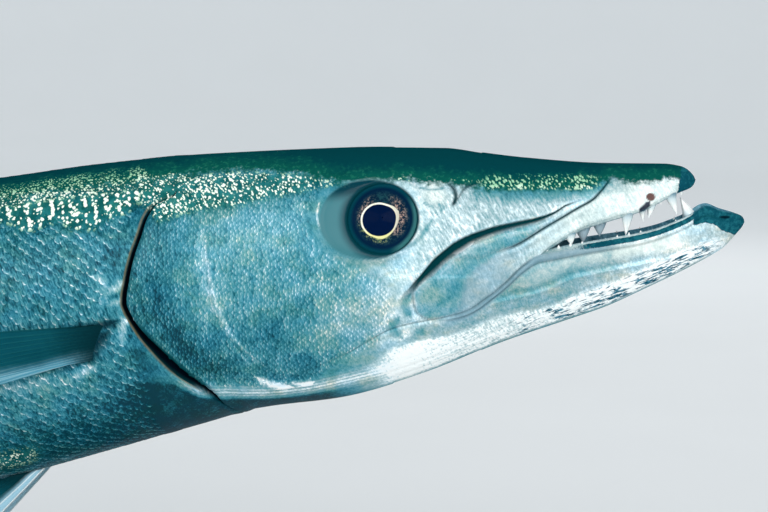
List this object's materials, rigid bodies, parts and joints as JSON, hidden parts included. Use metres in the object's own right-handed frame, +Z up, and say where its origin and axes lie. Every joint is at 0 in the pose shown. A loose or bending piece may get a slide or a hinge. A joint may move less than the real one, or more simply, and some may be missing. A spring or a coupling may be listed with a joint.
{
  "type": "great barracuda, still life-size model on a display stand",
  "caption": "Life-size still model of a great barracuda with its mouth a little open, held level over a flat base by upright rods.",
  "frame": {"origin": "on the floor, under the middle of the model's bounding box", "axes": "+X the way the fish faces, +Y its left side, +Z up"},
  "size_m": [1.1017, 0.19, 0.346],
  "materials": {
    "skin": "silvery scales, teal over the back, satin",
    "jaw": "smooth pale silver skin, satin",
    "fin": "thin dark membrane over rays",
    "eye": "wet gloss with a silver and copper iris",
    "eyelid": "smooth fatty lid, wet gloss",
    "teeth": "polished, slightly translucent",
    "stand_base": "satin black paint",
    "stand_rod": "brushed"
  },
  "bodies": {
    "root": {"upper_jaw": "jaw", "lower_jaw": "jaw", "maxilla_right": "jaw", "maxilla_left": "jaw", "head": "skin", "gill_cover_right": "skin", "gill_cover_left": "skin", "torso_front": "skin", "torso_middle": "skin", "torso_rear": "skin", "tail_stalk": "skin", "eye_right": "eye", "eye_left": "eye", "eyelid_right": "eyelid", "eyelid_left": "eyelid", "first_dorsal_fin": "fin", "second_dorsal_fin": "fin", "anal_fin": "fin", "tail_fin_upper": "fin", "tail_fin_lower": "fin", "pectoral_fin_right": "fin", "pectoral_fin_left": "fin", "pelvic_fin_right": "fin", "pelvic_fin_left": "fin", "stand_base": "stand_base", "stand_rod_front": "stand_rod", "stand_rod_rear": "stand_rod"}
  },
  "joints": []
}
